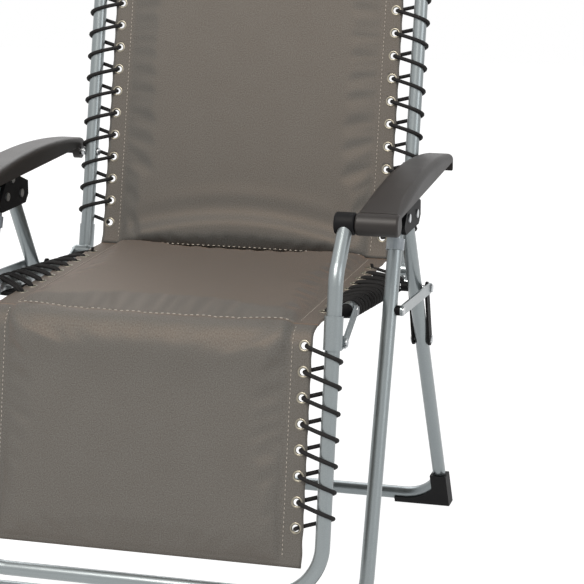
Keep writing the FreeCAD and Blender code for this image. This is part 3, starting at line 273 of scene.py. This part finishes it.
shader.inputs["IOR"].default_value = 1.45
shader.inputs["Specular IOR Level"].default_value = 0.8
shader.inputs["Specular Tint"].default_value = colour("#ffd2a8")
shader.inputs["Sheen Weight"].default_value = 0.35
shader.inputs["Sheen Roughness"].default_value = 0.45
shader.inputs["Sheen Tint"].default_value = colour("#b98a63")

sewn_half = 0.196
hem_half = 0.227
hem_thick = 0.0013
columns = 100
sewn_column = 43
row_step = 0.005
back_length, seat_length, legrest_length = 0.698, 0.408, 0.328
eyelet_pitch = 0.034
# Run 0 of the back lies at its hinge and run 0 of the legrest at the knee; the slopes are sine and cosine.
back_foot_y, back_foot_z = 0.1614, 0.4054
back_sine, back_cosine = 0.230, 0.973
back_seam_run = 0.014
knee_y, knee_z = -0.2755, 0.4043
legrest_sine, legrest_cosine = 0.184, 0.983
knee_seam_run = -0.032
sling_height = 0.419
seat_pivot_y = 0.070


def back_middle(s):
    """Middle of the back panel at a distance from the seat seam: place and outward direction."""
    forward = 0.0046 * max(0.0, 1 - s / 0.05) ** 2
    run = back_seam_run + s
    out = Vector((0.0, -back_cosine, back_sine))
    place = Vector((0.0, back_foot_y + back_sine * run, back_foot_z + back_cosine * run))
    return place + out * forward, out


def seat_middle(s):
    """Middle of the seat panel, from the back seam forward."""
    return Vector((0.0, 0.160 - s, sling_height)), Vector((0.0, 0.0, 1.0))


def legrest_middle(s):
    """Middle of the legrest panel: over the knee in a roll, and then down along its tubes."""
    turn = math.radians(79.4)
    bend = 0.0297
    over = bend * turn
    if s < over:
        angle = s / bend
        out = Vector((0.0, -math.sin(angle), math.cos(angle)))
        return Vector((0.0, -0.248, 0.4195 - bend)) + out * bend, out
    out = Vector((0.0, -legrest_cosine, legrest_sine))
    run = s + knee_seam_run
    return Vector((0.0, knee_y - legrest_sine * run, knee_z - legrest_cosine * run)), out


def rolled(distance, reach):
    """Rise of a padded edge: a quarter of an ellipse from the sewn line inwards."""
    inside = min(max(distance / reach, 0.0), 1.0)
    return math.sqrt(1 - (1 - inside) ** 2)


def padded_panel(name, middle, length, eyelets, ends, rolls, crown):
    """One panel of cloth over foam: two faces on a grid, joined round the edge, with a flat hem each side."""
    rows = round(length / row_step)
    work = bmesh.new()
    chart = work.loops.layers.uv.new("cloth")
    bmesh.ops.create_grid(work, x_segments=columns, y_segments=rows, size=1.0)
    under = bmesh.ops.duplicate(work, geom=work.verts[:] + work.edges[:] + work.faces[:])["geom"]
    under = {v for v in under if isinstance(v, bmesh.types.BMVert)}
    pitch = eyelets[1] - eyelets[0]
    spots = {}
    for v in work.verts:
        column = round((v.co.x + 1) / 2 * columns) - columns // 2
        row = round((v.co.y + 1) / 2 * rows)
        s = length * row / rows
        beyond = abs(column) - sewn_column
        if beyond <= 0:
            x = sewn_half * column / sewn_column
        else:
            scallop = 0.0010 * (1 - math.cos(2 * math.pi * (s - eyelets[0]) / pitch)) / 2
            edge = hem_half - scallop - sewn_half
            x = math.copysign(sewn_half + edge * beyond / (columns // 2 - sewn_column), column)
        full = rolled(s - ends[0], rolls[0]) * rolled(length - ends[1] - s, rolls[1])
        full *= rolled(sewn_half - abs(x), 0.016)
        place, out = middle(s)
        rise = -hem_thick - 0.0042 * full if v in under else hem_thick + crown * full
        spots[v] = (x, s, column, row)
        v.co = place + Vector((x, 0.0, 0.0)) + out * rise
    for face in work.faces:
        for loop in face.loops:
            loop[chart].uv = spots[loop.vert][:2]
    bmesh.ops.reverse_faces(work, faces=[f for f in work.faces if f.verts[0] in under])
    rims = [edge for edge in work.edges if edge.is_boundary]
    bmesh.ops.bridge_loops(work, edges=rims)
    work.verts.index_update()
    top = {(spot[2], spot[3]): v.index for v, spot in spots.items() if v not in under}
    free = [v.index for v, (x, s, column, row) in spots.items()
            if abs(column) < sewn_column and ends[0] + 0.003 < s < length - ends[1] - 0.003]
    panel = into_object(work, name, melange)
    held = panel.vertex_groups.new(name="held")
    loose = set(free)
    held.add([v.index for v in panel.data.vertices if v.index not in loose], 1.0, "REPLACE")
    return panel, top, rows


back_eyelets = [0.032 + eyelet_pitch * k for k in range(19)]
seat_eyelets = [0.0645 + eyelet_pitch * k for k in range(9)]
legrest_eyelets = [0.038 + eyelet_pitch * k for k in range(8)]
back_panel, back_top, back_rows = padded_panel(
    "back_panel", back_middle, back_length, back_eyelets, ends=(0.0, 0.008), rolls=(0.022, 0.022),
    crown=0.0062)
seat_panel, seat_top, seat_rows = padded_panel(
    "seat_panel", seat_middle, seat_length, seat_eyelets, ends=(0.0, 0.0), rolls=(0.030, 0.046), crown=0.0095)
legrest_panel, legrest_top, legrest_rows = padded_panel(
    "legrest_panel", legrest_middle, legrest_length, legrest_eyelets, ends=(0.0, 0.008), rolls=(0.026, 0.022),
    crown=0.0075)
panels = (back_panel, seat_panel, legrest_panel)

# The foam presses the cloth out between its sewn lines: a short run of the solver with the hems held.
swell_cap = 0.004
last_frame = 20
for panel in panels:
    solver = panel.modifiers.new("swell", "CLOTH")
    solver.settings.vertex_group_mass = "held"
    solver.settings.use_pressure = True
    solver.settings.uniform_pressure_force = 4.0
    solver.settings.shrink_min = -0.01
    solver.settings.quality = 5
    solver.settings.mass = 0.3
    solver.settings.bending_stiffness = 3.0
    solver.settings.effector_weights.gravity = 0.0
    solver.collision_settings.use_collision = False
    solver.point_cache.frame_start = 1
    solver.point_cache.frame_end = last_frame
for step in range(1, last_frame + 1):
    scene.frame_set(step)
depsgraph = bpy.context.evaluated_depsgraph_get()
for panel in panels:
    swollen = [v.co.copy() for v in panel.evaluated_get(depsgraph).data.vertices]
    panel.modifiers.clear()
    for v, moved in zip(panel.data.vertices, swollen):
        shift = moved - v.co
        v.co += shift * min(1.0, swell_cap / max(shift.length, 1e-9))
scene.frame_set(1)

# Sitting has pushed a soft fold into the foot of the back: a ridge that arches over the seam.
for (column, row), index in back_top.items():
    s = back_length * row / back_rows
    x = sewn_half * column / sewn_column
    if abs(x) < sewn_half and s < 0.12:
        inside = 1 - (x / sewn_half) ** 2
        crest = 0.006 + 0.034 * inside
        if s > crest:
            ridge = math.exp(-((s - crest) / 0.013) ** 2)
        else:
            ridge = math.sin(math.pi / 2 * s / crest) ** 0.8
        ripple = 0.0014 * math.exp(-((s - crest - 0.045) / 0.012) ** 2)
        lift = 0.0115 * ridge * min(1.0, 3 * inside) + ripple * inside
        back_panel.data.vertices[index].co += Vector((0.0, -back_cosine, back_sine)) * lift

# The foam bunches where the legrest turns over the knee, so the roll stands out widest there.
for (column, row), index in legrest_top.items():
    s = legrest_length * row / legrest_rows
    x = sewn_half * column / sewn_column
    if abs(x) < sewn_half and s < 0.16:
        bunch = math.exp(-((s - 0.04) / 0.04) ** 2)
        lift = 0.007 * rolled(sewn_half - abs(x), 0.05) * rolled(s, 0.03) * bunch
        legrest_panel.data.vertices[index].co += legrest_middle(s)[1] * lift

for panel in panels:
    panel.data.update()

# Sewing thread: pale polyester lock stitch along the seams and, finer, along the sides of the pads.
# Each stitch is a short loop of thread lying on the cloth.

thread, tree, shader, spot = new_finish("polyester_sewing_thread")
twist = node(tree, "ShaderNodeTexWave", {"Vector": spot, "Scale": 500.0}, bands_direction="DIAGONAL")
tone = node(tree, "ShaderNodeMix", {0: twist.outputs["Fac"], 6: colour("#a39c93"), 7: colour("#cfc8be")},
            data_type="RGBA")
tree.links.new(tone.outputs[2], shader.inputs["Base Color"])
shader.inputs["Roughness"].default_value = 0.6


def stitch_row(work, panel, line, length, gap, thick):
    """Lays stitches on the cloth along a line of its points."""
    points = [panel.data.vertices[index] for index in line]
    walked, wanted = 0.0, gap
    for start, end in zip(points, points[1:]):
        span = (end.co - start.co).length
        while wanted <= walked + span:
            share = (wanted - walked) / span
            middle = start.co.lerp(end.co, share)
            out = start.normal.lerp(end.normal, share).normalized()
            ahead = (end.co - start.co).normalized()
            aside = out.cross(ahead)
            turn = Matrix((ahead, aside, out)).transposed().to_4x4()
            size = Matrix.Diagonal((length / 2, thick / 2, thick / 2, 1.0))
            bmesh.ops.create_uvsphere(work, u_segments=6, v_segments=4, radius=1.0,
                                      matrix=Matrix.Translation(middle + out * thick * 0.25) @ turn @ size)
            wanted += length + gap
        walked += span


def side_lines(top, rows, first, last):
    """The two stitched edges of a pad, as lines of points."""
    return [[top[(sign * (sewn_column + 1), row)] for row in range(first, rows - last)] for sign in (-1, 1)]


def seam_line(top, row, inset):
    """A line of points right across a pad."""
    return [top[(column, row)] for column in range(-sewn_column + inset, sewn_column - inset + 1)]


stitching = {}
for name, panel, top, rows in (
        ("back", back_panel, back_top, back_rows),
        ("seat", seat_panel, seat_top, seat_rows),
        ("legrest", legrest_panel, legrest_top, legrest_rows)):
    work = bmesh.new()
    for line in side_lines(top, rows, 2, 2):
        stitch_row(work, panel, line, 0.0034, 0.0026, 0.0008)
    if name != "seat":
        stitch_row(work, panel, seam_line(top, 1, 1), 0.0050, 0.0032, 0.0013)
    stitching[name] = into_object(work, f"{name}_stitching", thread)

# Eyelets: nickel plated brass, pressed through the hem and rolled over, so each is a round bright ring.

nickel, tree, shader, spot = new_finish("nickel_plated_brass")
blotch = node(tree, "ShaderNodeTexNoise", {"Vector": spot, "Scale": 400.0, "Detail": 3.0})
tone = node(tree, "ShaderNodeMix", {0: blotch.outputs["Fac"], 6: colour("#7d786c"), 7: colour("#9c978a")},
            data_type="RGBA")
rough = node(tree, "ShaderNodeMapRange", {"Value": blotch.outputs["Fac"], "To Min": 0.34, "To Max": 0.48})
tree.links.new(tone.outputs[2], shader.inputs["Base Color"])
tree.links.new(rough.outputs[0], shader.inputs["Roughness"])
shader.inputs["Metallic"].default_value = 1.0

eyelet_x = 0.2166
eyelet_hole = 0.0046
eyelet_roll = 0.0019


def panel_place(middle, side, s):
    """Matrix of a spot in the hem: x outwards to the side, y along the panel, z out of the cloth."""
    place, out = middle(s)
    aside = Vector((side, 0.0, 0.0))
    turn = Matrix((aside, out.cross(aside), out)).transposed().to_4x4()
    return Matrix.Translation(place + aside * eyelet_x) @ turn


for name, panel, middle, spots, body in (
        ("back_rings", back_panel, back_middle, back_eyelets, "back"),
        ("seat_rings", seat_panel, seat_middle, seat_eyelets, "seat"),
        ("legrest_rings", legrest_panel, legrest_middle, legrest_eyelets, "legrest")):
    rings = bmesh.new()
    punches = bmesh.new()
    for side in (-1, 1):
        for s in spots:
            seat_of_ring = panel_place(middle, side, s)
            profile = bmesh.ops.create_circle(rings, segments=10, radius=1.0)["verts"]
            bmesh.ops.scale(rings, verts=profile, vec=(eyelet_roll, 0.0021, 1.0))
            bmesh.ops.rotate(rings, verts=profile, matrix=Matrix.Rotation(math.pi / 2, 3, "X"))
            bmesh.ops.translate(rings, verts=profile, vec=(eyelet_hole + eyelet_roll, 0.0, 0.0))
            outline = list({edge for v in profile for edge in v.link_edges})
            bmesh.ops.spin(rings, geom=profile + outline, axis=(0, 0, 1), cent=(0, 0, 0), angle=2 * math.pi,
                           steps=20, use_merge=True)
            whole = {v for v in rings.verts if not v.tag}
            bmesh.ops.transform(rings, verts=list(whole), matrix=seat_of_ring)
            for v in rings.verts:
                v.tag = True
            bmesh.ops.create_cone(punches, cap_ends=True, segments=20, radius1=eyelet_hole + eyelet_roll,
                                  radius2=eyelet_hole + eyelet_roll, depth=0.012, matrix=seat_of_ring)
    made = into_object(rings, name, nickel)
    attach(made, body)
    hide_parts(name.replace("_rings", "_eyelets"))
    punch = into_object(punches, "punch", nickel)
    cut = panel.modifiers.new("punched", "BOOLEAN")
    cut.object = punch
    cut.operation = "DIFFERENCE"
    cut.solver = "EXACT"
    depsgraph = bpy.context.evaluated_depsgraph_get()
    punched = bpy.data.meshes.new_from_object(panel.evaluated_get(depsgraph))
    panel.modifiers.clear()
    panel.data = punched
    bpy.data.objects.remove(punch)

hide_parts("back_pad")
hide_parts("seat_pad")
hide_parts("legrest_pad")
for piece in (back_panel, stitching["back"]):
    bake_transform(piece)
for piece in (legrest_panel, stitching["legrest"]):
    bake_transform(piece)
for piece in (seat_panel, stitching["seat"]):
    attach(piece, "seat")

# Lacing: one elastic cord a side of each panel, rubber strands in a black braided cover.
# It goes in through an eyelet, behind the tube and round it, and over its front to the next eyelet.

braid, tree, shader, spot = new_finish("black_braided_cord")
plait = node(tree, "ShaderNodeTexVoronoi", {"Vector": spot, "Scale": 620.0})
tone = node(tree, "ShaderNodeMix", {0: plait.outputs["Distance"], 6: colour("#0d0c0d"), 7: colour("#191818")},
            data_type="RGBA")
bump = node(tree, "ShaderNodeBump", {"Height": plait.outputs["Distance"], "Strength": 0.5,
                                     "Distance": 0.0005})
tree.links.new(tone.outputs[2], shader.inputs["Base Color"])
tree.links.new(bump.outputs[0], shader.inputs["Normal"])
shader.inputs["Roughness"].default_value = 0.8
shader.inputs["Specular IOR Level"].default_value = 0.3

tube_x = 0.2536
wind = 0.0134
# Share of the way to the next eyelet, and the angle round the tube there.
turn_stages = ((0.30, -95.0), (0.43, -40.0), (0.50, 0.0), (0.57, 40.0), (0.70, 95.0))


def wound_cord(name, place, passes, tube_rise, side, cord_radius):
    """A cord wound through its eyelets and round the tube, as a tube along one smooth spline."""
    points = []
    for run, following in zip(passes, passes[1:]):
        pitch = following - run
        if not points:
            points.append(place(side * (eyelet_x + 0.001), run, 0.007))
        points.append(place(side * eyelet_x, run, -0.0045))
        for share, angle in turn_stages:
            ahead = run + pitch * share
            turn = math.radians(angle)
            points.append(place(side * (tube_x + wind * math.cos(turn)), ahead,
                                tube_rise(ahead) + wind * math.sin(turn)))
        points.append(place(side * eyelet_x, following, 0.0045))
    points.append(place(side * (eyelet_x + 0.001), passes[-1], -0.007))
    route = bpy.data.curves.new(name, "CURVE")
    route.dimensions = "3D"
    line = route.splines.new("NURBS")
    line.points.add(len(points) - 1)
    for point, where in zip(line.points, points):
        point.co = (*where, 1.0)
    line.order_u = 4
    line.use_endpoint_u = True
    line.resolution_u = 5
    route.bevel_depth = cord_radius
    route.bevel_resolution = 2
    route.use_fill_caps = True
    holder = bpy.data.objects.new(name, route)
    scene.collection.objects.link(holder)
    depsgraph = bpy.context.evaluated_depsgraph_get()
    mesh = bpy.data.meshes.new_from_object(holder.evaluated_get(depsgraph))
    bpy.data.objects.remove(holder)
    mesh.name = name
    mesh.shade_smooth()
    mesh.materials.clear()
    mesh.materials.append(braid)
    cord = bpy.data.objects.new(name, mesh)
    scene.collection.objects.link(cord)
    return cord


def back_spot(x, run, rise):
    """Spot on the back: along the tubes from the hinge, and out of the cloth."""
    return Vector((x, back_foot_y + back_sine * run - back_cosine * rise,
                   back_foot_z + back_cosine * run + back_sine * rise))


def seat_spot(x, run, rise):
    """Spot on the seat: forward of the seat pivot, and up from the cloth."""
    return Vector((x, seat_pivot_y - run, sling_height + rise))


def legrest_spot(x, run, rise):
    """Spot on the legrest: down the tubes from the knee, and out of the cloth."""
    return Vector((x, knee_y - legrest_sine * run - legrest_cosine * rise,
                   knee_z - legrest_cosine * run + legrest_sine * rise))


back_passes = [0.046 + eyelet_pitch * k for k in range(19)]
seat_passes = [-0.0255 + eyelet_pitch * k + step for k in range(9) for step in (-0.0025, 0.0025)]
legrest_passes = [0.244 - eyelet_pitch * k for k in range(8)]
for name, place, passes, rise, cord_radius in (
        ("back", back_spot, back_passes, lambda run: 0.0, 0.0029),
        ("seat", seat_spot, seat_passes, lambda run: -0.017 + 0.1033 * run, 0.0024),
        ("legrest", legrest_spot, legrest_passes, lambda run: 0.0, 0.0029)):
    for label, side in (("left", 1), ("right", -1)):
        cord = wound_cord(f"{name}_cord_{label}", place, passes, rise, side, cord_radius)
        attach(cord, name)
        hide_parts(f"{name}_lacing_{label}")

# Seat tube plugs: a domed black cap pressed into the open front end of each seat tube.

plugs = bmesh.new()
tilt = Matrix.Rotation(math.radians(-5.9), 4, "X")
for side in (-1, 1):
    spot_of_plug = Matrix.Translation((side * tube_x, -0.2046, 0.4304)) @ tilt
    bmesh.ops.create_uvsphere(plugs, u_segments=24, v_segments=12, radius=1.0,
                              matrix=spot_of_plug @ Matrix.Diagonal((0.0096, 0.0045, 0.0096, 1.0)))
seat_tube_plugs = into_object(plugs, "seat_tube_plugs", moulded_black)
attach(seat_tube_plugs, "seat")
